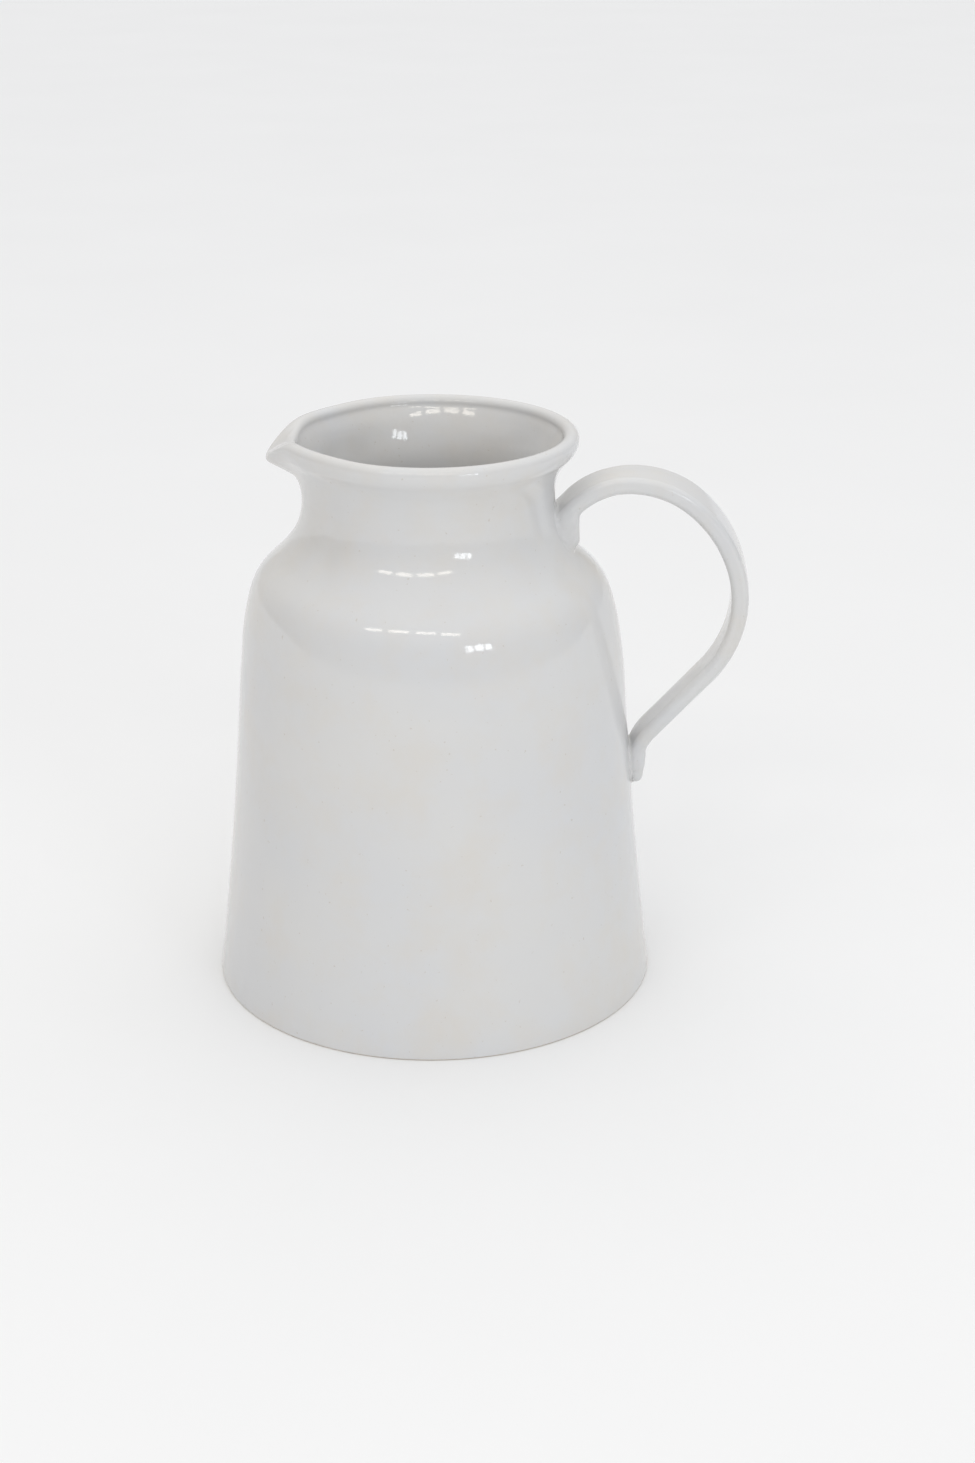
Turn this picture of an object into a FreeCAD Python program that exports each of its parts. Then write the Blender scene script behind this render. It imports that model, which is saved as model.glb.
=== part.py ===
import FreeCAD, Part
import math
import os

# A wheel-thrown stoneware pitcher with a wide foot, a long tapering wall, a rounded shoulder,
# a short neck, a rolled lip with a pulled spout, and a pulled strap handle luted on with slip.
#
# Frame: millimetres, +Z up, the origin at the middle of the foot on the plane that it stands on.
# The handle is towards +X, the spout towards -X, and the pitcher is symmetric about the XZ plane.
# A profile is drawn in a half plane through the axis as (radius, height).
# A heading is measured in degrees from the outward radial direction, so 90 points straight up.

V = FreeCAD.Vector

# Body, outside
HEIGHT = 230.0
BASE_RADIUS = 90.4
BASE_HEADING = 97.2
WALL_ARC = (2200.0, -3.3)
SHOULDER_ARCS = ((240.0, 6.3), (108.0, 6.3), (25.6, 31.5))
SHOULDER_SLOPE = 5.2
COLLAR_RADIUS = 32.8
FLARE_ARC = (21.4, -45.0)
LIP_SWELL_ARC = (7.5, 45.0)
LIP_RADIUS = 3.15

# Body, inside and underneath
WALL = 4.6
FLOOR = 7.0
CREASE_RADIUS = 1.2
FOOT_RING_WIDTH = 7.0
FOOT_RECESS = 2.2
FOOT_RECESS_SLOPE = 3.0
BELOW_FOOT = 1.0

# Spout: its keel starts at the narrow of the neck, and its floor slopes down to the nose
KEEL_ARCS = ((18.0, -26.0), (3.6, -38.0))
KEEL_LENGTH = 10.2
NOSE_ARC = (2.6, 119.0)
SPOUT_FLOOR_LENGTH = 8.8
SPOUT_SILL_ARC = (2.6, 112.0)
SPOUT_HALF_ANGLE = 12.5

# Points taken along each stretch of the body's skin, and around the axis
WALL_COUNT = 12
SHOULDER_COUNT = 16
COLLAR_COUNT = 9
NECK_COUNT = 13
LIP_COUNT = 13
INNER_NECK_COUNT = 10
AZIMUTH_STEP = 5
SEAM_AZIMUTH = 90

# Handle: centre line in the XZ plane, from inside the neck over the top to the lower pad
HANDLE_START = (48.5, 188.1)
HANDLE_HEADING = 70.0
HANDLE_ARCS = ((32.0, -69.7), (40.7, -41.5), (54.8, -30.9), (47.0, -61.0))
HANDLE_RUN = 33.2
HANDLE_HEEL_ARC = (22.0, 38.0)
HANDLE_THICKNESS = 6.9
HANDLE_EDGE_RADIUS = 2.5
HANDLE_WIDTH_HIGH = (212.0, 24.0)
HANDLE_WIDTH_LOW = (82.0, 17.0)

# The strap's two thick ends, as (lower centre, upper centre, radius) in the XZ plane
UPPER_ROOT = ((54.2, 187.6), (53.9, 193.6), 4.3)
LOWER_PAD = ((83.0, 85.2), (83.3, 93.0), 3.0)

# Slip that lutes the handle on
SLIP = 0.8
SLIP_MARGIN = 1.6
UPPER_SLIP_SPAN = (181.6, 201.5)
LOWER_SLIP_SPAN = (80.4, 103.5)
SLIP_CORNER = 0.25


def side_point(x, z):
    """A point of the XZ plane."""
    return V(x, 0.0, z)


class Pen:
    """Draws a smooth outline in the XZ plane from straights and tangent arcs."""

    def __init__(self, x, z, heading, grow=0.0):
        self.heading = heading
        self.grow = grow
        angle = math.radians(heading)
        self.x = x + grow * math.sin(angle)
        self.z = z - grow * math.cos(angle)
        self.edges = []

    def step(self, x, z):
        self.x += x
        self.z += z

    def line(self, length):
        start = side_point(self.x, self.z)
        angle = math.radians(self.heading)
        self.step(length * math.cos(angle), length * math.sin(angle))
        self.edges.append(Part.LineSegment(start, side_point(self.x, self.z)).toShape())

    def arc(self, radius, turn):
        """Turn left for a positive angle and right for a negative one."""
        side = math.copysign(1.0, turn)
        radius = radius + side * self.grow
        points = [side_point(self.x, self.z)]
        for _ in range(2):
            middle = math.radians(self.heading + turn / 4.0)
            chord = 2.0 * radius * math.sin(math.radians(abs(turn)) / 4.0)
            self.step(chord * math.cos(middle), chord * math.sin(middle))
            self.heading += turn / 2.0
            points.append(side_point(self.x, self.z))
        self.edges.append(Part.Arc(*points).toShape())

    def arcs(self, pairs):
        for radius, turn in pairs:
            self.arc(radius, turn)

    def spaced(self, count, first=0):
        """Evenly spaced (radius, height) points along the edges drawn since edge number first."""
        wire = Part.Wire(self.edges[first:])
        return [(p.x, p.z) for p in wire.discretize(Number=count)]


def neck_rise():
    """Length of straight neck that brings the lip to the full height."""
    pen = draw_body(Pen(BASE_RADIUS, 0.0, BASE_HEADING))
    rise = 0.0
    for radius, turn in (FLARE_ARC, LIP_SWELL_ARC):
        rise += radius * math.sin(math.radians(abs(turn)))
    return HEIGHT - LIP_RADIUS - rise - pen.z


def draw_body(pen, wall_turn=WALL_ARC[1]):
    """Wall, shoulder and collar, up to where the neck is upright."""
    pen.arc(WALL_ARC[0], wall_turn)
    pen.arcs(SHOULDER_ARCS)
    pen.line(SHOULDER_SLOPE)
    pen.arc(COLLAR_RADIUS, 90.0 - pen.heading)
    return pen


def inner_pen():
    """A pen on the inner face of the wall at floor level, and the wall turn left above it."""
    angle = math.radians(BASE_HEADING)
    centre_z = -WALL_ARC[0] * math.cos(angle)
    centre_x = BASE_RADIUS + WALL_ARC[0] * math.sin(angle)
    radius = WALL_ARC[0] + WALL
    heading = math.acos((FLOOR - centre_z) / radius)
    start_x = centre_x - radius * math.sin(heading)
    heading = math.degrees(heading)
    pen = Pen(start_x, FLOOR, heading)
    pen.grow = -WALL
    return pen, WALL_ARC[1] + (BASE_HEADING - heading)


def wall_points(pen, wall_turn):
    """Points of the wall, shoulder and collar, the same number for the inside and the outside.

    The wall is the first edge, and the shoulder is its arcs and the straight slope after them.
    """
    draw_body(pen, wall_turn)
    wall = Part.Wire(pen.edges[:1]).discretize(Number=WALL_COUNT)
    shoulder_end = 1 + len(SHOULDER_ARCS) + 1
    shoulder = Part.Wire(pen.edges[1:shoulder_end]).discretize(Number=SHOULDER_COUNT)
    collar = Part.Wire(pen.edges[shoulder_end:]).discretize(Number=COLLAR_COUNT)
    return [(p.x, p.z) for p in wall + shoulder[1:] + collar[1:]]


def inner_neck(start, end):
    """A flare and a small crease that lead from the upright inner neck to the upright edge under the lip."""
    run = end[0] - start[0]
    rise = end[1] - start[1]
    turn = 2.0 * math.degrees(math.atan2(run, rise))
    reach = rise / math.sin(math.radians(turn))
    pen = Pen(start[0], start[1], 90.0)
    pen.arc(reach - CREASE_RADIUS, -turn)
    pen.arc(CREASE_RADIUS, turn)
    return pen.spaced(INNER_NECK_COUNT)


def plain_lip(outer_start, inner_start):
    """Neck, flare, rolled lip and inner neck away from the spout, as three lists of points."""
    pen = Pen(outer_start[0], outer_start[1], 90.0)
    pen.line(neck_rise())
    pen.arc(*FLARE_ARC)
    pen.arc(*LIP_SWELL_ARC)
    neck = pen.spaced(NECK_COUNT)
    drawn = len(pen.edges)
    pen.arc(LIP_RADIUS, 180.0)
    lip = pen.spaced(LIP_COUNT, drawn)
    return neck, lip, inner_neck(inner_start, lip[-1])


def spout_lip(outer_start, inner_start):
    """The same three lists on the middle line of the spout."""
    pen = Pen(outer_start[0], outer_start[1], 90.0)
    pen.arcs(KEEL_ARCS)
    pen.line(KEEL_LENGTH)
    neck = pen.spaced(NECK_COUNT)
    drawn = len(pen.edges)
    pen.arc(*NOSE_ARC)
    pen.line(SPOUT_FLOOR_LENGTH)
    pen.arc(*SPOUT_SILL_ARC)
    lip = pen.spaced(LIP_COUNT, drawn)
    return neck, lip, spout_throat(inner_start, lip[-1], pen.heading + 180.0)


def spout_throat(start, end, end_heading):
    """A gentle curve from the upright inner neck to the inner edge of the spout."""
    curve = Part.BSplineCurve()
    low = side_point(*start)
    high = side_point(*end)
    reach = low.distanceToPoint(high)
    angle = math.radians(end_heading)
    arrive = side_point(math.cos(angle), math.sin(angle))
    curve.interpolate(Points=[low, high], InitialTangent=V(0, 0, reach), FinalTangent=arrive * reach)
    return [(p.x, p.z) for p in curve.toShape().discretize(Number=INNER_NECK_COUNT)]


def spout_weight(azimuth):
    """How far a meridian takes the shape of the spout: 1 on its middle line, 0 on the far side."""
    away = abs(azimuth - 180.0)
    return math.exp(-(away / SPOUT_HALF_ANGLE) ** 2)


def mix(first, second, weight):
    """Points part of the way from one list of points to another."""
    return [
        (a[0] + weight * (b[0] - a[0]), a[1] + weight * (b[1] - a[1]))
        for a, b in zip(first, second)
    ]


def body_rings():
    """Rings round the body, in order from the edge of the base over the lip to the floor."""
    outer = wall_points(Pen(BASE_RADIUS, 0.0, BASE_HEADING), WALL_ARC[1])
    inner = wall_points(*inner_pen())
    plain = plain_lip(outer[-1], inner[-1])
    spout = spout_lip(outer[-1], inner[-1])
    meridians = []
    for azimuth in range(SEAM_AZIMUTH, SEAM_AZIMUTH + 360, AZIMUTH_STEP):
        weight = spout_weight(azimuth)
        neck, lip, throat = [mix(a, b, weight) for a, b in zip(plain, spout)]
        meridian = outer + neck[1:] + lip[1:] + throat[-2:0:-1] + inner[::-1]
        angle = math.radians(azimuth)
        meridians.append([V(r * math.cos(angle), r * math.sin(angle), z) for r, z in meridian])
    even = [float(step) for step in range(len(meridians) + 1)]
    rings = []
    for points in zip(*meridians):
        ring = Part.BSplineCurve()
        ring.interpolate(Points=list(points), Parameters=even, PeriodicFlag=True)
        rings.append(Part.Wire([ring.toShape()]))
    return rings


def turned(outline):
    """Solid made by turning a closed outline of the XZ plane about the axis."""
    face = Part.Face(Part.Wire(outline))
    return face.revolve(V(0, 0, 0), V(0, 0, 1), 360.0)


def joined(points):
    """Closed outline through points of the XZ plane."""
    corners = [side_point(x, z) for x, z in points]
    return Part.makePolygon(corners + corners[:1]).Edges


def foot_recess():
    """The shallow hollow that leaves a narrow ring to stand on."""
    rim = BASE_RADIUS - FOOT_RING_WIDTH
    outline = [
        (0.0, -BELOW_FOOT),
        (rim, -BELOW_FOOT),
        (rim, 0.0),
        (rim - FOOT_RECESS_SLOPE, FOOT_RECESS),
        (0.0, FOOT_RECESS),
    ]
    return turned(joined(outline))


def make_vessel():
    body = Part.makeLoft(body_rings(), True, False)
    return body.cut(foot_recess())


def make_clearance():
    """The outer form of the body as a plain turned solid, grown by the thickness of the slip."""
    pen = Pen(BASE_RADIUS, 0.0, BASE_HEADING, SLIP)
    foot = side_point(pen.x, pen.z)
    draw_body(pen)
    pen.line(neck_rise())
    pen.arc(*FLARE_ARC)
    top = side_point(pen.x, pen.z)
    closing = Part.makePolygon([top, side_point(0, top.z), side_point(0, foot.z), foot]).Edges
    return turned(pen.edges + closing)


def strap_edge(offset):
    """One long edge of the strap's side view, offset from its centre line."""
    pen = Pen(HANDLE_START[0], HANDLE_START[1], HANDLE_HEADING, offset)
    pen.arcs(HANDLE_ARCS)
    pen.line(HANDLE_RUN)
    pen.arc(*HANDLE_HEEL_ARC)
    return pen.edges


def handle_width(z):
    """Width of the handle at one height: it tapers evenly towards its lower end."""
    low_z, low_width = HANDLE_WIDTH_LOW
    high_z, high_width = HANDLE_WIDTH_HIGH
    return low_width + (high_width - low_width) * (z - low_z) / (high_z - low_z)


def band(z):
    """Ends of the width across the handle at one height, in the YZ plane."""
    half = handle_width(z) / 2.0
    return [V(0, -half, z), V(0, half, z)]


def width_wedge():
    """A tall wedge that is as wide as the handle at each height."""
    top = band(HEIGHT)
    foot = band(0.0)
    outline = Part.makePolygon([foot[0], foot[1], top[1], top[0], foot[0]])
    return Part.Face(outline).extrude(V(2.0 * BASE_RADIUS, 0, 0))


def lies_across(edge, axis):
    """Whether an edge starts off more across an axis than along it."""
    return abs(edge.tangentAt(edge.FirstParameter).dot(axis)) < math.sqrt(0.5)


def rounded_slab(side_view):
    """A side view given the handle's width, with its long edges rounded over."""
    half = handle_width(HEIGHT)
    side_view.translate(V(0, -half, 0))
    slab = side_view.extrude(V(0, 2.0 * half, 0)).common(width_wedge())
    long_edges = [edge for edge in slab.Edges if lies_across(edge, V(0, 1, 0))]
    return slab.makeFillet(HANDLE_EDGE_RADIUS, long_edges)


def strap():
    upper = strap_edge(-HANDLE_THICKNESS / 2.0)
    lower = strap_edge(HANDLE_THICKNESS / 2.0)
    ends = [
        Part.LineSegment(upper[0].Vertexes[0].Point, lower[0].Vertexes[0].Point).toShape(),
        Part.LineSegment(upper[-1].Vertexes[-1].Point, lower[-1].Vertexes[-1].Point).toShape(),
    ]
    outline = Part.Wire(Part.__sortEdges__(upper + lower + ends))
    return rounded_slab(Part.Face(outline))


def thick_end(low, high, radius):
    """A pad with round ends in side view."""
    across = math.atan2(high[1] - low[1], high[0] - low[0])
    side = (radius * math.sin(across), -radius * math.cos(across))
    along = (radius * math.cos(across), radius * math.sin(across))
    right_low = side_point(low[0] + side[0], low[1] + side[1])
    right_high = side_point(high[0] + side[0], high[1] + side[1])
    left_high = side_point(high[0] - side[0], high[1] - side[1])
    left_low = side_point(low[0] - side[0], low[1] - side[1])
    tip = side_point(high[0] + along[0], high[1] + along[1])
    heel = side_point(low[0] - along[0], low[1] - along[1])
    edges = [
        Part.LineSegment(right_low, right_high).toShape(),
        Part.Arc(right_high, tip, left_high).toShape(),
        Part.LineSegment(left_high, left_low).toShape(),
        Part.Arc(left_low, heel, right_low).toShape(),
    ]
    return rounded_slab(Part.Face(Part.Wire(edges)))


def make_handle(clearance):
    whole = strap().fuse([thick_end(*UPPER_ROOT), thick_end(*LOWER_PAD)])
    return whole.cut(clearance).removeSplitter()


def make_slip(span, vessel, clearance):
    """A thin layer of slip between the body and one end of the handle, a little larger all round.

    Its corners are rounded by a radius that is a set part of its height.
    """
    low, high = span
    half = handle_width((low + high) / 2.0) / 2.0 + SLIP_MARGIN
    block = Part.makeBox(2.0 * BASE_RADIUS, 2.0 * half, high - low, V(0, -half, low))
    corners = [edge for edge in block.Edges if not lies_across(edge, V(1, 0, 0))]
    block = block.makeFillet(SLIP_CORNER * (high - low), corners)
    return clearance.common(block).cut(vessel)


def outermost(shape):
    """The solid of a shape that lies furthest towards the handle, outside the body's wall."""
    return max(shape.Solids, key=lambda solid: solid.CenterOfMass.x)


def main():
    os.makedirs("parts", exist_ok=True)
    vessel = make_vessel().Solids[0]
    clearance = make_clearance()
    nodes = {
        "vessel": vessel,
        "handle": outermost(make_handle(clearance)),
        "upper_slip_joint": outermost(make_slip(UPPER_SLIP_SPAN, vessel, clearance)),
        "lower_slip_joint": outermost(make_slip(LOWER_SLIP_SPAN, vessel, clearance)),
    }
    for name, shape in nodes.items():
        shape.exportStep("parts/" + name + ".step")
        box = shape.BoundBox
        print(name, shape.isValid(), round(shape.Volume), box)


main()
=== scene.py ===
import math
import bpy
import numpy as np
from mathutils import Euler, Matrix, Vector


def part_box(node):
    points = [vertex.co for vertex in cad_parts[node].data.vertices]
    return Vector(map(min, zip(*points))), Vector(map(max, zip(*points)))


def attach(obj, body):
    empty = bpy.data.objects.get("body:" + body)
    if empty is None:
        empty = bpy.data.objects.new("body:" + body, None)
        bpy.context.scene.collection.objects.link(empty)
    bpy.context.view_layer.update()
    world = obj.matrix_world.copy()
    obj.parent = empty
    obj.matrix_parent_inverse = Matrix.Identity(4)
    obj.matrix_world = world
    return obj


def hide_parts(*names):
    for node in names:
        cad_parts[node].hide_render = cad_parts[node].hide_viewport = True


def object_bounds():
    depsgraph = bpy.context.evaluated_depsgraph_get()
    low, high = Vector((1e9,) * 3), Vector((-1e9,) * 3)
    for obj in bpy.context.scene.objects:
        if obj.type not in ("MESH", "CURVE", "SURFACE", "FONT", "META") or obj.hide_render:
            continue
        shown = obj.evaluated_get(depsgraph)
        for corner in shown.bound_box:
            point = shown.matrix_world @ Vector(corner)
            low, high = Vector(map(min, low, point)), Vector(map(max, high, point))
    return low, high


# Looks of a glazed stoneware pitcher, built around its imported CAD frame.
# Shapes are drawn in millimetres in the CAD's own frame: +Z up, the handle towards +X, the spout
# towards -X. An outline is drawn as (radius, height) points, with headings in degrees from the
# outward radial direction. Meshes are in metres.

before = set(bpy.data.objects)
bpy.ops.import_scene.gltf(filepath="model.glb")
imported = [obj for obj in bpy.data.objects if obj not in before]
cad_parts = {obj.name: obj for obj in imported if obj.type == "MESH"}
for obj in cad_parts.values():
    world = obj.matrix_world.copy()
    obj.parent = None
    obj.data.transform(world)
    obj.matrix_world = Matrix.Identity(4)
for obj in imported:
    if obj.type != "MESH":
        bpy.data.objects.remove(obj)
cad_low, cad_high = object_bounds()

MM = 0.001
HEIGHT = (cad_high.z - cad_low.z) / MM
BASE_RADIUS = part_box("vessel")[1].y / MM

# Body, outside
BASE_HEADING = 97.2
BASE_EDGE_RADIUS = 0.7
WALL_ARC = (2200.0, -3.3)
SHOULDER_ARCS = ((240.0, 6.3), (108.0, 6.3), (25.6, 31.5))
SHOULDER_SLOPE = 5.2
COLLAR_RADIUS = 32.8
FLARE_ARC = (21.4, -45.0)
LIP_SWELL_ARC = (7.5, 45.0)
LIP_RADIUS = 3.15

# Body, inside and underneath
WALL = 4.6
FLOOR = 7.0
FLOOR_CORNER = 11.0
CREASE_RADIUS = 1.2
FOOT_RING_WIDTH = 7.0
FOOT_RECESS = 2.2
FOOT_RECESS_TURN = 35.0
FOOT_RECESS_BEND = 2.0

# Unglazed clay: the heights over which it gives way to glaze, how far inside the foot ring it is
# still fully bare, and the length over which it fades from there
BARE_HEIGHTS = (0.05, 0.75)
BARE_MARGIN = 1.0
BARE_FADE = 2.0

# Spout
KEEL_ARCS = ((18.0, -26.0), (3.6, -38.0))
KEEL_LENGTH = 10.2
NOSE_ARC = (2.6, 119.0)
SPOUT_FLOOR_LENGTH = 8.8
SPOUT_SILL_ARC = (2.6, 112.0)
SPOUT_HALF_ANGLE = 12.5

# Marks of the hand: the neck stands a little towards the spout, the shoulder is fuller on that
# side, and two fingers have pressed the rim and the neck in beside the spout
NECK_SHIFT = (-1.0, -0.3)
NECK_SHIFT_STARTS = (150.0, 190.0)
LIP_SHIFT_STARTS = (212.0, 223.0)
SHOULDER_FULLNESS = (1.4, 180.0, 8.0)
WALL_FULLNESS = 0.7
WALL_FULLNESS_STARTS = (136.0, 152.0)
WALL_FULLNESS_ENDS = (168.0, 182.0)
RIM_PRESS = (1.5, 45.0, 17.0)
RIM_PRESS_STARTS = (208.0, 222.0)
NECK_PRESS = (0.6, 43.0, 7.0)
NECK_PRESS_STARTS = (180.0, 188.0)
NECK_PRESS_ENDS = (208.0, 218.0)

# Handle: centre line in the XZ plane, from inside the neck over the top to the lower pad
HANDLE_START = (48.5, 188.1)
HANDLE_HEADING = 70.0
HANDLE_ARCS = ((32.0, -69.7), (40.7, -41.5), (54.8, -30.9), (47.0, -61.0))
HANDLE_RUN = 33.2
HANDLE_HEEL_ARC = (22.0, 38.0)
HANDLE_THICKNESS = (7.0, 7.1, 7.3, 7.2, 6.4, 6.1)
HANDLE_TWIST = (0.0, -2.5, 4.5, 5.6, 5.0, 2.5, 0.0)
HANDLE_WIDTH_HIGH = (212.0, 24.0)
HANDLE_WIDTH_LOW = (82.0, 17.0)
HANDLE_EDGE_RADIUS = 2.5
HANDLE_CROWN = 0.25
UPPER_ROOT = ((54.2, 187.6), (53.9, 193.6), 4.3)
LOWER_PAD = ((83.0, 85.2), (83.3, 93.0), 3.0)
HANDLE_MELD = 3.0
HANDLE_SUNK = 0.8

# Slip pressed out of each joint, as the radius of its fillet
UPPER_FILLET = 2.4
LOWER_FILLET = 1.6
FEATHER = 0.03

# Fineness of the meshes
PEN_TURN = 0.25
PEN_STEP = 0.5
AZIMUTHS = 292
SPOUT_DENSITY = 0.45
WALL_COUNT = 40
SHOULDER_COUNT = 36
COLLAR_COUNT = 24
NECK_COUNT = 36
LIP_COUNT = 30
THROAT_COUNT = 28
FOOT_COUNTS = (9, 11, 6, 9)
INNER_CORNER_COUNT = 14
INNER_FLOOR_COUNT = 9
THROAT_CURVE_COUNT = 200
OUTLINE_NECK_COUNT = 60
HANDLE_LINE_COUNT = 380
HANDLE_GRID = 0.5
JOINT_GRID = 0.4
TABLE_GRID = 0.25
SETTLE_ROUNDS = 3
SHALLOWEST_SLOPE = 0.25
NODE_MARGIN = 3.0
JOINT_MARGIN = 4.0


class Pen:
    """Draws a smooth outline as dense (radius, height) points from straights and tangent arcs."""

    def __init__(self, x, z, heading, grow=0.0):
        self.heading = heading
        self.grow = grow
        angle = math.radians(heading)
        self.points = [(x + grow * math.sin(angle), z - grow * math.cos(angle))]

    def step(self, length, heading):
        angle = math.radians(heading)
        x, z = self.points[-1]
        self.points.append((x + length * math.cos(angle), z + length * math.sin(angle)))

    def line(self, length):
        count = max(1, math.ceil(length / PEN_STEP))
        for _ in range(count):
            self.step(length / count, self.heading)
        return self

    def arc(self, radius, turn):
        """Turn left for a positive angle and right for a negative one."""
        radius = radius + math.copysign(self.grow, turn)
        length = radius * math.radians(abs(turn))
        count = math.ceil(max(abs(turn) / PEN_TURN, length / PEN_STEP))
        chord = 2.0 * radius * math.sin(math.radians(abs(turn)) / count / 2.0)
        for index in range(count):
            self.step(chord, self.heading + turn * (index + 0.5) / count)
        self.heading += turn
        return self

    def arcs(self, pairs):
        for radius, turn in pairs:
            self.arc(radius, turn)
        return self

    def fresh(self):
        """The points drawn so far, and the pen goes on from the last one with an empty list."""
        points = np.array(self.points)
        self.points = self.points[-1:]
        return points


def spaced(points, count):
    """Points evenly spaced along a dense outline."""
    lengths = np.hypot(*np.diff(points, axis=0).T)
    along = np.concatenate([[0.0], np.cumsum(lengths)])
    places = np.linspace(0.0, along[-1], count)
    return np.stack([np.interp(places, along, points[:, axis]) for axis in range(2)], axis=1)


def wall_start(height, grow):
    """Where the wall, moved out by grow, has this height: its radius, its heading, the turn left."""
    angle = math.radians(BASE_HEADING)
    centre_x = BASE_RADIUS + WALL_ARC[0] * math.sin(angle)
    centre_z = -WALL_ARC[0] * math.cos(angle)
    radius = WALL_ARC[0] - grow
    heading = math.acos((height - centre_z) / radius)
    start = centre_x - radius * math.sin(heading)
    heading = math.degrees(heading)
    return start, heading, WALL_ARC[1] + BASE_HEADING - heading


def wall_up(height, grow):
    """The wall from a height up to the upright neck, as wall, shoulder and collar points."""
    start, heading, turn = wall_start(height, grow)
    pen = Pen(start, height, heading)
    pen.grow = grow
    wall = pen.arc(WALL_ARC[0], turn).fresh()
    shoulder = pen.arcs(SHOULDER_ARCS).line(SHOULDER_SLOPE).fresh()
    collar = pen.arc(COLLAR_RADIUS, 90.0 - pen.heading).fresh()
    return [
        spaced(wall, WALL_COUNT),
        spaced(shoulder, SHOULDER_COUNT)[1:],
        spaced(collar, COLLAR_COUNT)[1:],
    ]


def foot_points():
    """Underside from the axis outwards: the recess, the foot ring and the rounded base edge."""
    edge_height = BASE_EDGE_RADIUS * (1.0 - math.cos(math.radians(BASE_HEADING)))
    wall_radius, heading, _ = wall_start(edge_height, 0.0)
    flat_end = wall_radius - BASE_EDGE_RADIUS * math.sin(math.radians(heading))
    slope = math.radians(FOOT_RECESS_TURN)
    bend_drop = 2.0 * FOOT_RECESS_BEND * (1.0 - math.cos(slope))
    run = (FOOT_RECESS - bend_drop) / math.sin(slope)
    recess_run = 2.0 * FOOT_RECESS_BEND * math.sin(slope) + run * math.cos(slope)
    recess_count, step_count, ring_count, edge_count = FOOT_COUNTS
    pen = Pen(0.0, FOOT_RECESS, 0.0)
    pen.line(BASE_RADIUS - FOOT_RING_WIDTH - recess_run)
    recess = spaced(pen.fresh(), recess_count)
    pen.arc(FOOT_RECESS_BEND, -FOOT_RECESS_TURN).line(run).arc(FOOT_RECESS_BEND, FOOT_RECESS_TURN)
    step = spaced(pen.fresh(), step_count)[1:]
    pen.line(flat_end - pen.points[-1][0])
    ring = spaced(pen.fresh(), ring_count)[1:]
    edge = spaced(pen.arc(BASE_EDGE_RADIUS, heading).fresh(), edge_count)[1:]
    return [recess, step, ring, edge], edge_height


def neck_rise(collar_top):
    """Length of straight neck that brings the lip to the full height."""
    rise = 0.0
    for radius, turn in (FLARE_ARC, LIP_SWELL_ARC):
        rise += radius * math.sin(math.radians(abs(turn)))
    return HEIGHT - LIP_RADIUS - rise - collar_top


def inner_neck(start, end):
    """A flare and a small crease, from the upright inner neck to the upright edge under the lip."""
    run = end[0] - start[0]
    rise = end[1] - start[1]
    turn = 2.0 * math.degrees(math.atan2(run, rise))
    reach = rise / math.sin(math.radians(turn))
    pen = Pen(start[0], start[1], 90.0)
    return pen.arc(reach - CREASE_RADIUS, -turn).arc(CREASE_RADIUS, turn).fresh()


def spout_throat(start, end, end_heading):
    """A gentle curve from the upright inner neck to the inner edge of the spout."""
    start, end = np.array(start), np.array(end)
    reach = np.hypot(*(end - start))
    angle = math.radians(end_heading)
    leave = np.array([0.0, reach])
    arrive = np.array([math.cos(angle), math.sin(angle)]) * reach
    t = np.linspace(0.0, 1.0, THROAT_CURVE_COUNT)[:, None]
    return (
        (2 * t**3 - 3 * t**2 + 1) * start
        + (t**3 - 2 * t**2 + t) * leave
        + (3 * t**2 - 2 * t**3) * end
        + (t**3 - t**2) * arrive
    )


def plain_lip(outer_start, inner_start):
    """Neck, rolled lip and inner neck away from the spout."""
    pen = Pen(outer_start[0], outer_start[1], 90.0)
    neck = pen.line(neck_rise(outer_start[1])).arc(*FLARE_ARC).arc(*LIP_SWELL_ARC).fresh()
    lip = pen.arc(LIP_RADIUS, 180.0).fresh()
    return neck, lip, inner_neck(inner_start, lip[-1])


def spout_lip(outer_start, inner_start):
    """The same three stretches on the middle line of the spout."""
    pen = Pen(outer_start[0], outer_start[1], 90.0)
    neck = pen.arcs(KEEL_ARCS).line(KEEL_LENGTH).fresh()
    lip = pen.arc(*NOSE_ARC).line(SPOUT_FLOOR_LENGTH).arc(*SPOUT_SILL_ARC).fresh()
    return neck, lip, spout_throat(inner_start, lip[-1], pen.heading + 180.0)


def inner_floor():
    """The rounded corner inside and the floor to the axis, from the wall inwards."""
    height = FLOOR + FLOOR_CORNER * (1.0 - math.cos(math.radians(BASE_HEADING)))
    radius, heading, _ = wall_start(height, -WALL)
    pen = Pen(radius, height, heading + 180.0)
    corner = pen.arc(FLOOR_CORNER, -heading).fresh()
    floor = pen.line(pen.points[-1][0]).fresh()
    corner = spaced(corner, INNER_CORNER_COUNT)[1:]
    return [corner, spaced(floor, INNER_FLOOR_COUNT)[1:]], height


def meridians():
    """The plain and the spout's meridian, from under the foot over the lip to the floor's middle.

    Both have the same number of points.
    """
    foot, outer_height = foot_points()
    floor, inner_height = inner_floor()
    outer = wall_up(outer_height, 0.0)
    inner = wall_up(inner_height, -WALL)
    made = []
    for draw in (plain_lip, spout_lip):
        neck, lip, throat = draw(outer[-1][-1], inner[-1][-1])
        made.append(np.concatenate([
            *foot,
            outer[0][1:],
            outer[1],
            outer[2],
            spaced(neck, NECK_COUNT)[1:],
            spaced(lip, LIP_COUNT)[1:],
            spaced(throat, THROAT_COUNT)[::-1][1:],
            np.concatenate(inner)[::-1][1:],
            *floor,
        ]))
    return made


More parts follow.
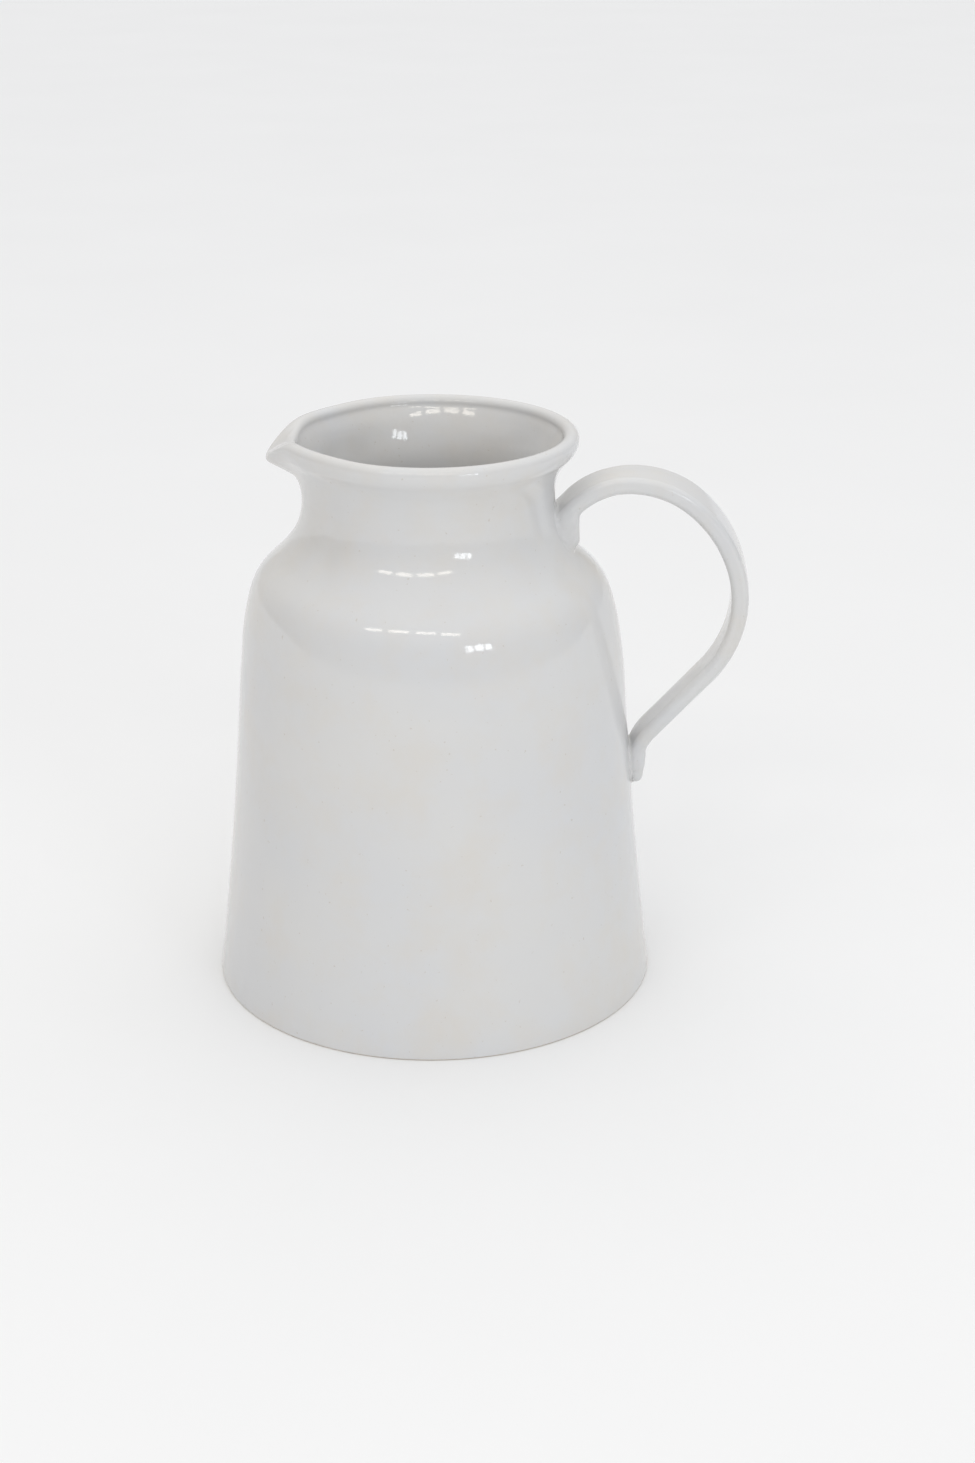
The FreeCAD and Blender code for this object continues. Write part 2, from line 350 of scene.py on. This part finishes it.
def smooth(low, high, value):
    """0 below low, 1 above high, and a soft step between."""
    t = np.clip((value - low) / (high - low), 0.0, 1.0)
    return t * t * (3.0 - 2.0 * t)


def lean(z):
    """How far the hand-thrown neck stands off the foot's axis."""
    neck, lip = NECK_SHIFT
    return neck * smooth(*NECK_SHIFT_STARTS, z) + (lip - neck) * smooth(*LIP_SHIFT_STARTS, z)


def hump(middle, reach, value):
    """1 at the middle, falling softly to 0 over about twice the reach."""
    return np.exp(-(((value - middle) / reach) ** 2))


def hand_marks(azimuth, z):
    """How far the thrown body stands proud of a true turned form."""
    amount, height, reach = SHOULDER_FULLNESS
    full = amount * hump(height, reach, z)
    wall = WALL_FULLNESS * smooth(*WALL_FULLNESS_STARTS, z)
    full = full + wall * (1.0 - smooth(*WALL_FULLNESS_ENDS, z))
    full = full * (1.0 - np.cos(np.radians(azimuth))) / 2.0
    away = np.abs(azimuth - 180.0)
    press, side, spread = RIM_PRESS
    rim = press * hump(side, spread, away) * smooth(*RIM_PRESS_STARTS, z)
    press, side, spread = NECK_PRESS
    neck = press * hump(side, spread, away) * smooth(*NECK_PRESS_STARTS, z)
    return full - rim - neck * (1.0 - smooth(*NECK_PRESS_ENDS, z))


def spout_weight(azimuth):
    """How far a meridian takes the shape of the spout: 1 on its middle line, 0 on the far side."""
    return np.exp(-((azimuth - 180.0) / SPOUT_HALF_ANGLE) ** 2)


def mesh_object(name, points, faces):
    """An object of a smooth-shaded mesh, from points in millimetres."""
    mesh = bpy.data.meshes.new(name)
    mesh.from_pydata((np.asarray(points) * MM).tolist(), [], faces)
    mesh.validate()
    mesh.polygons.foreach_set("use_smooth", np.ones(len(mesh.polygons), bool))
    mesh.update()
    thing = bpy.data.objects.new(name, mesh)
    bpy.context.scene.collection.objects.link(thing)
    return thing


def add_layer(thing, name, values):
    """A value for each vertex, which a material reads by name."""
    layer = thing.data.attributes.new(name, "FLOAT", "POINT")
    layer.data.foreach_set("value", np.asarray(values, np.float32))


def build_vessel():
    plain, spout = meridians()
    turn = np.arange(AZIMUTHS) / AZIMUTHS
    azimuth = 360.0 * turn + math.degrees(SPOUT_DENSITY) * np.sin(2.0 * math.pi * turn)
    weight = spout_weight(azimuth)[:, None, None]
    rows = plain[None] + weight * (spout - plain)[None]
    radius, z = rows[:, 1:-1, 0], rows[:, 1:-1, 1]
    radius = radius + hand_marks(azimuth[:, None], z)
    angle = np.radians(azimuth)[:, None]
    x = radius * np.cos(angle) + lean(z)
    y = radius * np.sin(angle)
    count = radius.shape[1]
    skin = np.stack([x, y, z], axis=2).reshape(-1, 3)
    points = np.concatenate([skin, [[0.0, 0.0, plain[0, 1]], [0.0, 0.0, plain[-1, 1]]]])
    here = np.arange(AZIMUTHS)[:, None] * count
    after = np.roll(np.arange(AZIMUTHS), -1)[:, None] * count
    step = np.arange(count - 1)[None]
    quads = np.stack([here + step, after + step, after + step + 1, here + step + 1], axis=2)
    under_middle, floor_middle = len(skin), len(skin) + 1
    under = [[a, b, under_middle] for a, b in zip(after[:, 0], here[:, 0])]
    last = count - 1
    inside = [[a + last, b + last, floor_middle] for a, b in zip(here[:, 0], after[:, 0])]
    faces = quads.reshape(-1, 4).tolist() + under + inside
    vessel = mesh_object("glazed_vessel", points, faces)
    ring_in = BASE_RADIUS - FOOT_RING_WIDTH - BARE_MARGIN
    reach = np.hypot(points[:, 0], points[:, 1])
    low = 1.0 - smooth(*BARE_HEIGHTS, points[:, 2])
    bare = low * smooth(ring_in - BARE_FADE, ring_in, reach)
    add_layer(vessel, "bare_clay", bare)
    return vessel


def segments_distance(x, z, line):
    """Distance from points to a line of segments, its side, and how far along the nearest place is."""
    start, step = line[:-1], np.diff(line, axis=0)
    size = np.hypot(step[:, 0], step[:, 1])
    before = np.concatenate([[0.0], np.cumsum(size)[:-1]])
    best = np.full(x.shape, np.inf)
    side = np.zeros(x.shape)
    along = np.zeros(x.shape)
    for (x0, z0), (dx, dz), length, start_length in zip(start, step, size, before):
        t = np.clip(((x - x0) * dx + (z - z0) * dz) / length**2, 0.0, 1.0)
        gap = np.hypot(x - x0 - t * dx, z - z0 - t * dz)
        nearer = gap < best
        best = np.where(nearer, gap, best)
        side = np.where(nearer, (x - x0) * dz - (z - z0) * dx, side)
        along = np.where(nearer, start_length + t * length, along)
    return best, np.sign(side), along


class Table:
    """Values on a grid of the half plane, read between its points."""

    def __init__(self, low, high, make):
        self.low = low
        axes = [np.arange(a, b + TABLE_GRID, TABLE_GRID) for a, b in zip(low, high)]
        self.values = make(*np.meshgrid(*axes, indexing="ij"))

    def __call__(self, x, z):
        i, u = self.place(x, self.low[0], self.values.shape[0])
        j, v = self.place(z, self.low[1], self.values.shape[1])
        a = self.values
        near = a[i, j] * (1 - v) + a[i, j + 1] * v
        far = a[i + 1, j] * (1 - v) + a[i + 1, j + 1] * v
        return near * (1 - u) + far * u

    @staticmethod
    def place(value, low, count):
        steps = np.clip((value - low) / TABLE_GRID, 0.0, count - 1.001)
        whole = np.floor(steps).astype(int)
        return whole, steps - whole


def handle_line():
    pen = Pen(HANDLE_START[0], HANDLE_START[1], HANDLE_HEADING)
    return pen.arcs(HANDLE_ARCS).line(HANDLE_RUN).arc(*HANDLE_HEEL_ARC).fresh()


def body_outline():
    """The outside of the wall, shoulder, collar and plain neck, away from the spout."""
    outer = wall_up(foot_points()[1], 0.0)
    neck, _, _ = plain_lip(outer[-1][-1], outer[-1][-1])
    return np.concatenate([outer[0], outer[1], outer[2], spaced(neck, OUTLINE_NECK_COUNT)[1:]])


def round_box(across, beside, half_thickness, half_width, radius):
    """Distance to a bar with rounded long edges."""
    a = across - (half_thickness - radius)
    b = beside - (half_width - radius)
    return np.hypot(np.maximum(a, 0.0), np.maximum(b, 0.0)) + np.minimum(np.maximum(a, b), 0.0) - radius


def meld(a, b, radius):
    """Union of two distances with a round fillet between them."""
    return np.maximum(radius, np.minimum(a, b)) - np.hypot(
        np.maximum(radius - a, 0.0), np.maximum(radius - b, 0.0)
    )


def half_width(z):
    low_z, low = HANDLE_WIDTH_LOW
    high_z, high = HANDLE_WIDTH_HIGH
    return (low + (high - low) * (z - low_z) / (high_z - low_z)) / 2.0


class Fields:
    """Signed distances, in millimetres, to the body's outside and to the handle."""

    # The part of the half plane that the tables cover, as (radius, height)
    LOW = (40.0, 70.0)
    HIGH = (132.0, 216.0)

    def __init__(self):
        outline = body_outline()
        line = spaced(handle_line(), HANDLE_LINE_COUNT)

        def body_table(x, z):
            gap, side, _ = segments_distance(x, z, outline)
            return gap * side

        self.body_profile = Table(self.LOW, self.HIGH, body_table)
        # The same search gives the distance across the handle and the place along it
        found = []

        def offset_table(x, z):
            gap, side, along = segments_distance(x, z, line)
            found.append(along / along.max())
            return -gap * side

        self.offset = Table(self.LOW, self.HIGH, offset_table)
        self.along = Table(self.LOW, self.HIGH, lambda x, z: found[0])

    def body(self, x, y, z):
        return self.body_profile(np.hypot(x - lean(z), y), z)

    def along_handle(self, x, z, values):
        """A quantity that is given at even steps along the handle."""
        return np.interp(self.along(x, z), np.linspace(0.0, 1.0, len(values)), values)

    def pad(self, x, y, z, low, high, radius):
        (x0, z0), (x1, z1) = low, high
        dx, dz = x1 - x0, z1 - z0
        t = np.clip(((x - x0) * dx + (z - z0) * dz) / (dx * dx + dz * dz), 0.0, 1.0)
        gap = np.hypot(x - x0 - t * dx, z - z0 - t * dz)
        return round_box(gap, np.abs(y), radius, half_width(z), HANDLE_EDGE_RADIUS)

    def handle(self, x, y, z):
        half = half_width(z)
        twist = np.radians(self.along_handle(x, z, HANDLE_TWIST))
        offset = self.offset(x, z)
        across = np.abs(offset * np.cos(twist) - y * np.sin(twist))
        beside = np.abs(y * np.cos(twist) + offset * np.sin(twist))
        thick = self.along_handle(x, z, HANDLE_THICKNESS) / 2.0
        thick = thick - HANDLE_CROWN * np.minimum(beside / half, 1.0) ** 2
        strap = round_box(across, beside, thick, half, np.minimum(HANDLE_EDGE_RADIUS, thick))
        root = self.pad(x, y, z, *UPPER_ROOT)
        heel = self.pad(x, y, z, *LOWER_PAD)
        return meld(meld(strap, root, HANDLE_MELD), heel, HANDLE_MELD)

    def handle_outside(self, x, y, z):
        """The handle, ending a little way inside the body's wall."""
        return np.maximum(self.handle(x, y, z), -HANDLE_SUNK - self.body(x, y, z))

    def joint(self, radius):
        """The fillet of slip round one end of the handle, with its inner sides sunk in both clays."""

        def field(x, y, z):
            body = self.body(x, y, z) + FEATHER
            handle = self.handle(x, y, z) + FEATHER
            fillet = meld(body, handle, radius)
            sunk = np.maximum(-HANDLE_SUNK - body, -HANDLE_SUNK - handle)
            reach = np.maximum(body, handle) - radius - HANDLE_SUNK
            return np.maximum(np.maximum(fillet, sunk), reach)

        return field


def fill_pinches(value, grid):
    """Fills each face of the grid whose inside corners meet only diagonally.

    Left alone, such a face makes an edge that four faces of the mesh share.
    """
    barely_inside = -0.01 * grid
    ends = (slice(None, -1), slice(1, None))
    pinches = 1
    while pinches:
        pinches = 0
        for one, two in ((0, 1), (1, 2), (2, 0)):
            corners = []
            for i, j in ((0, 0), (0, 1), (1, 1), (1, 0)):
                index = [slice(None)] * 3
                index[one] = ends[i]
                index[two] = ends[j]
                corners.append(value[tuple(index)])
            a, b, c, d = [corner < 0.0 for corner in corners]
            pinched = (a == c) & (b == d) & (a != b)
            pinches += pinched.sum()
            for corner in corners:
                corner[pinched] = np.minimum(corner[pinched], barely_inside)


def surface_net(field, low, high, grid):
    """Points and four-sided faces of a field's zero surface."""
    axes = [np.arange(a, b + grid, grid) for a, b in zip(low, high)]
    value = field(*np.meshgrid(*axes, indexing="ij"))
    fill_pinches(value, grid)
    inside = value < 0.0
    corner_steps = [(i, j, k) for i in (0, 1) for j in (0, 1) for k in (0, 1)]
    cells = tuple(n - 1 for n in value.shape)

    def shifted(array, step):
        return array[tuple(slice(s, s + n) for s, n in zip(step, cells))]

    filled = sum(shifted(inside, step).astype(np.int8) for step in corner_steps)
    active = np.argwhere((filled > 0) & (filled < 8))
    corners = {step: value[tuple((active + step).T)] for step in corner_steps}
    total = np.zeros((len(active), 3))
    crossings = np.zeros(len(active))
    for start in corner_steps:
        for axis in range(3):
            if start[axis]:
                continue
            end = tuple(s + (index == axis) for index, s in enumerate(start))
            a, b = corners[start], corners[end]
            crossed = (a < 0.0) != (b < 0.0)
            t = np.where(crossed, a / np.where(crossed, a - b, 1.0), 0.0)
            place = np.tile(np.array(start, float), (len(active), 1))
            place[:, axis] = t
            total += place * crossed[:, None]
            crossings += crossed
    points = np.array(low) + (active + total / crossings[:, None]) * grid
    number = np.full(cells, -1)
    number[tuple(active.T)] = np.arange(len(active))
    faces = []
    for axis in range(3):
        one, two = [(axis + 1) % 3, (axis + 2) % 3]
        first = [slice(1, -1)] * 3
        first[axis] = slice(0, value.shape[axis] - 1)
        second = list(first)
        second[axis] = slice(1, value.shape[axis])
        a, b = inside[tuple(first)], inside[tuple(second)]
        offset = np.array([1, 1, 1])
        offset[axis] = 0
        for leaving in (True, False):
            found = np.argwhere((a != b) & (a == leaving)) + offset
            ring = []
            for back_one, back_two in ((1, 1), (0, 1), (0, 0), (1, 0)):
                cell = found.copy()
                cell[:, one] -= back_one
                cell[:, two] -= back_two
                ring.append(number[tuple(cell.T)])
            quad = np.stack(ring if leaving else ring[::-1], axis=1)
            faces.append(quad)
    return points, np.concatenate(faces)


def settle(field, points, grid):
    """Moves points onto a field's zero surface along its slope, by short steps."""
    tiny = 0.1 * grid
    longest = 0.3 * grid
    for _ in range(SETTLE_ROUNDS):
        slope = np.zeros_like(points)
        for axis in range(3):
            ahead, behind = points.copy(), points.copy()
            ahead[:, axis] += tiny
            behind[:, axis] -= tiny
            slope[:, axis] = (field(*ahead.T) - field(*behind.T)) / (2.0 * tiny)
        steep = np.maximum((slope**2).sum(axis=1), SHALLOWEST_SLOPE)
        move = np.clip(field(*points.T) / steep, -longest, longest)
        points = points - move[:, None] * slope
    return points


def build_from_field(name, field, low, high, grid):
    points, faces = surface_net(field, low, high, grid)
    points = settle(field, points, grid)
    return mesh_object(name, points, faces.tolist())


def node_span(node, margin):
    """A CAD node's box in millimetres, grown by a margin."""
    low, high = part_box(node)
    return [c / MM - margin for c in low], [c / MM + margin for c in high]


def build_handle(fields):
    low, high = node_span("handle", NODE_MARGIN)
    return build_from_field("strap_handle", fields.handle_outside, low, high, HANDLE_GRID)


def build_joint(fields, name, node, radius):
    low, high = node_span(node, radius + JOINT_MARGIN)
    return build_from_field(name, fields.joint(radius), low, high, JOINT_GRID)


class Nodes:
    """A short way to write a material's nodes."""

    def __init__(self, name):
        self.material = bpy.data.materials.new(name)
        self.material.use_nodes = True
        self.tree = self.material.node_tree
        self.shader = self.tree.nodes["Principled BSDF"]

    def add(self, kind, inputs=None, **settings):
        node = self.tree.nodes.new(kind)
        for key, value in settings.items():
            setattr(node, key, value)
        for key, value in (inputs or {}).items():
            if isinstance(value, bpy.types.NodeSocket):
                self.tree.links.new(value, node.inputs[key])
            else:
                node.inputs[key].default_value = value
        return node

    def noise(self, scale, detail=2.0, roughness=0.5):
        place = self.add("ShaderNodeTexCoord").outputs["Object"]
        inputs = {"Vector": place, "Scale": scale, "Detail": detail, "Roughness": roughness}
        return self.add("ShaderNodeTexNoise", inputs).outputs["Fac"]

    def ranged(self, value, low, high, to_low=0.0, to_high=1.0):
        inputs = {"Value": value, "From Min": low, "From Max": high, "To Min": to_low, "To Max": to_high}
        return self.add("ShaderNodeMapRange", inputs).outputs["Result"]

    def mixed(self, share, first, second):
        node = self.add("ShaderNodeMix", data_type="RGBA")
        for socket, value in zip((node.inputs[0], node.inputs[6], node.inputs[7]), (share, first, second)):
            if isinstance(value, bpy.types.NodeSocket):
                self.tree.links.new(value, socket)
            else:
                socket.default_value = value
        return node.outputs[2]

    def product(self, first, second):
        return self.add("ShaderNodeMath", {0: first, 1: second}, operation="MULTIPLY").outputs[0]

    def bump(self, height, strength, distance, normal=None):
        inputs = {"Height": height, "Strength": strength, "Distance": distance}
        if normal is not None:
            inputs["Normal"] = normal
        return self.add("ShaderNodeBump", inputs).outputs["Normal"]

    def set(self, **values):
        for key, value in values.items():
            socket = self.shader.inputs[key.replace("_", " ")]
            if isinstance(value, bpy.types.NodeSocket):
                self.tree.links.new(value, socket)
            else:
                socket.default_value = value


# Light of the room, as linear colours: dim at the sides, so that the pitcher's edges show
WARM_WALL = (0.06, 0.035, 0.01)
COOL_WALL = (0.18, 0.19, 0.22)
FRONT_WALL = (0.31, 0.335, 0.38)
BACK_WALL = (0.66, 0.65, 0.635)
CEILING = (1.22, 1.225, 1.23)
ROOM_LIGHT = 1.0

# Where one side of the room passes into the next, as a share of the way to +X, +Y or +Z
WARM_TO_COOL = (-0.9, 0.7)
FRONT_TO_SIDES = (-1.0, 0.2)
SIDES_TO_BACK = (0.1, 0.9)
WALLS_TO_CEILING = (0.15, 1.0)

# Windows: distance in metres, the share of each pane's space that is clear, and the height that
# they face, as a share of the pitcher's
WINDOW_DISTANCE = 2.5
CLEAR_SHARE = 0.76
FACED_HEIGHT = 0.7

# Glaze and bare clay
CLEAR_WHITE = (0.745, 0.737, 0.722, 1.0)
COOL_WHITE = (0.722, 0.724, 0.728, 1.0)
WARM_WHITE = (0.74, 0.68, 0.59, 1.0)
SPECK = (0.52, 0.45, 0.36, 1.0)
CLAY = (0.60, 0.52, 0.41, 1.0)
CLAY_DARK = (0.47, 0.39, 0.29, 1.0)
GLOSS_ROUGHNESS = (0.045, 0.085)
CLAY_ROUGHNESS = (0.85, 0.85, 0.85, 1.0)
BODY_WARMTH = 0.4
HANDLE_WARMTH = 0.45
JOINT_WARMTH = 0.7

# How fine each pattern of the glaze is, from broad mottling to the grit of the clay
MOTTLING = 16.0
WAVES = 26.0
BLOTCHES = 38.0
GLOSS_PATCHES = 70.0
ORANGE_PEEL = 420.0
SPECKS = 620.0
CLAY_GRAIN = 900.0
CLAY_GRIT = 1800.0

# Floor: half its size in metres, its two pale tones, how fine their pattern is, and its faint glow
FLOOR_HALF = 14.0
FLOOR_PATCHES = 5.0
FLOOR_ROUGHNESS = 0.7
FLOOR_TONES = ((0.86, 0.86, 0.86, 1.0), (0.89, 0.89, 0.89, 1.0))
FLOOR_GLOW = 0.04

# Camera: its place in heights of the pitcher, its turn in degrees, and its lens in millimetres
CAMERA_PLACE = (0.0, -4.0, 2.066)
CAMERA_TURN = (67.948, 0.0, -1.387)
CAMERA_LENS = 59.50
CAMERA_SENSOR = 36.0


def glaze(name, warmth):
    """A glossy off-white glaze that varies in tint, with faint specks, orange peel and waviness."""
    nodes = Nodes(name)
    broad = nodes.ranged(nodes.noise(MOTTLING, 3.0), 0.35, 0.65)
    tint = nodes.mixed(broad, COOL_WHITE, CLEAR_WHITE)
    blotch = nodes.ranged(nodes.noise(BLOTCHES, 4.0, 0.6), 0.45, 0.75, 0.0, warmth)
    tint = nodes.mixed(blotch, tint, WARM_WHITE)
    specks = nodes.ranged(nodes.noise(SPECKS, 1.0), 0.74, 0.80, 0.0, 0.35)
    tint = nodes.mixed(specks, tint, SPECK)
    bare = nodes.add("ShaderNodeAttribute", attribute_name="bare_clay").outputs["Fac"]
    clay = nodes.mixed(nodes.noise(CLAY_GRAIN, 4.0), CLAY, CLAY_DARK)
    gloss = nodes.ranged(nodes.noise(GLOSS_PATCHES, 3.0), 0.3, 0.7, *GLOSS_ROUGHNESS)
    rough = nodes.mixed(bare, gloss, CLAY_ROUGHNESS)
    waves = nodes.bump(nodes.noise(WAVES, 2.0), 0.35, 0.0008)
    peel = nodes.bump(nodes.noise(ORANGE_PEEL, 2.0), 0.10, 0.0002, waves)
    grit = nodes.product(bare, nodes.noise(CLAY_GRIT, 3.0))
    nodes.set(Base_Color=nodes.mixed(bare, tint, clay), Roughness=rough)
    nodes.set(Normal=nodes.bump(grit, 0.5, 0.0003, peel))
    return nodes.material


def floor_material():
    nodes = Nodes("pale_floor")
    tone = nodes.mixed(nodes.noise(FLOOR_PATCHES, 4.0), *FLOOR_TONES)
    nodes.set(Base_Color=tone, Roughness=FLOOR_ROUGHNESS, Emission_Color=(1.0, 1.0, 1.0, 1.0))
    nodes.set(Emission_Strength=FLOOR_GLOW)
    return nodes.material


def finish_piece(piece, material, slot, *nodes):
    piece.data.materials.append(material)
    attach(piece, "root")
    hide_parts(*nodes)


def build_pitcher():
    fields = Fields()
    finish_piece(build_vessel(), glaze("body_glaze", BODY_WARMTH), "body_glaze", "vessel")
    finish_piece(build_handle(fields), glaze("handle_glaze", HANDLE_WARMTH), "handle_glaze", "handle")
    joint_glaze = glaze("joint_glaze", JOINT_WARMTH)
    for place, radius in (("upper", UPPER_FILLET), ("lower", LOWER_FILLET)):
        node = place + "_slip_joint"
        joint = build_joint(fields, place + "_joint_fillet", node, radius)
        finish_piece(joint, joint_glaze, "joint_glaze", node)


def build_floor():
    half = FLOOR_HALF
    corners = [(-half, -half), (half, -half), (half, half), (-half, half)]
    mesh = bpy.data.meshes.new("floor")
    mesh.from_pydata([(x, y, cad_low.z) for x, y in corners], [], [(0, 1, 2, 3)])
    floor = bpy.data.objects.new("floor", mesh)
    floor.data.materials.append(floor_material())
    bpy.context.scene.collection.objects.link(floor)


def build_camera():
    """A portrait-length lens in front of the pitcher, looking down on it, slightly to the right."""
    tall = cad_high.z - cad_low.z
    camera = bpy.data.objects.new("camera", bpy.data.cameras.new("camera"))
    camera.data.sensor_width = CAMERA_SENSOR
    camera.data.lens = CAMERA_LENS
    camera.location = [share * tall for share in CAMERA_PLACE]
    camera.rotation_euler = Euler([math.radians(angle) for angle in CAMERA_TURN])
    bpy.context.scene.collection.objects.link(camera)
    bpy.context.scene.camera = camera


def add_light(name, place, aim, size, power, colour):
    """A soft rectangular light."""
    light = bpy.data.objects.new(name, bpy.data.lights.new(name, "AREA"))
    light.data.shape = "RECTANGLE"
    light.data.size, light.data.size_y = size
    light.data.energy = power
    light.data.color = colour
    light.location = place
    light.rotation_euler = (Vector(aim) - Vector(place)).to_track_quat("-Z", "Y").to_euler()
    bpy.context.scene.collection.objects.link(light)


def build_world():
    """A dim room with a bright ceiling and a pale back wall, warmer towards the spout's side."""
    world = bpy.data.worlds.new("studio")
    world.use_nodes = True
    tree = world.node_tree
    background = tree.nodes["Background"]
    place = tree.nodes.new("ShaderNodeTexCoord")
    axes = tree.nodes.new("ShaderNodeSeparateXYZ")
    tree.links.new(place.outputs["Generated"], axes.inputs[0])

    def blend(axis, low, high, first, second):
        share = tree.nodes.new("ShaderNodeMapRange")
        share.interpolation_type = "SMOOTHSTEP"
        share.inputs["From Min"].default_value = low
        share.inputs["From Max"].default_value = high
        tree.links.new(axes.outputs[axis], share.inputs["Value"])
        mix = tree.nodes.new("ShaderNodeMix")
        mix.data_type = "RGBA"
        tree.links.new(share.outputs["Result"], mix.inputs[0])
        for socket, colour in zip((mix.inputs[6], mix.inputs[7]), (first, second)):
            if isinstance(colour, bpy.types.NodeSocket):
                tree.links.new(colour, socket)
            else:
                socket.default_value = (*colour, 1.0)
        return mix.outputs[2]

    sides = blend("X", *WARM_TO_COOL, WARM_WALL, COOL_WALL)
    near = blend("Y", *FRONT_TO_SIDES, FRONT_WALL, sides)
    walls = blend("Y", *SIDES_TO_BACK, near, BACK_WALL)
    room = blend("Z", *WALLS_TO_CEILING, walls, CEILING)
    tree.links.new(room, background.inputs["Color"])
    background.inputs["Strength"].default_value = ROOM_LIGHT
    bpy.context.scene.world = world


def build_window(name, azimuth, elevation, panes, width, height, radiance, colour):
    """A row of bright panes facing the pitcher; an azimuth turns from the front towards +X."""
    middle = Vector((0.0, 0.0, FACED_HEIGHT * (cad_high.z - cad_low.z)))
    a, e = math.radians(azimuth), math.radians(elevation)
    out = Vector((math.sin(a) * math.cos(e), -math.cos(a) * math.cos(e), math.sin(e)))
    side = Vector((math.cos(a), math.sin(a), 0.0))
    pitch = width / panes
    pane = pitch * CLEAR_SHARE
    for index in range(panes):
        place = middle + out * WINDOW_DISTANCE + side * (index - (panes - 1) / 2.0) * pitch
        power = radiance * math.pi * pane * height
        add_light(name + str(index), place, place - out, (pane, height), power, colour)


def build_lights():
    build_window(
        "skylight", azimuth=-13.0, elevation=43.0, panes=4,
        width=2.6, height=0.19, radiance=6.5, colour=(1.0, 0.94, 0.84),
    )
    build_window(
        "window", azimuth=29.5, elevation=15.5, panes=3,
        width=0.70, height=0.32, radiance=10.0, colour=(0.90, 0.95, 1.0),
    )


build_camera()
build_world()
build_lights()
build_floor()
build_pitcher()
bpy.context.scene.view_settings.view_transform = "Standard"
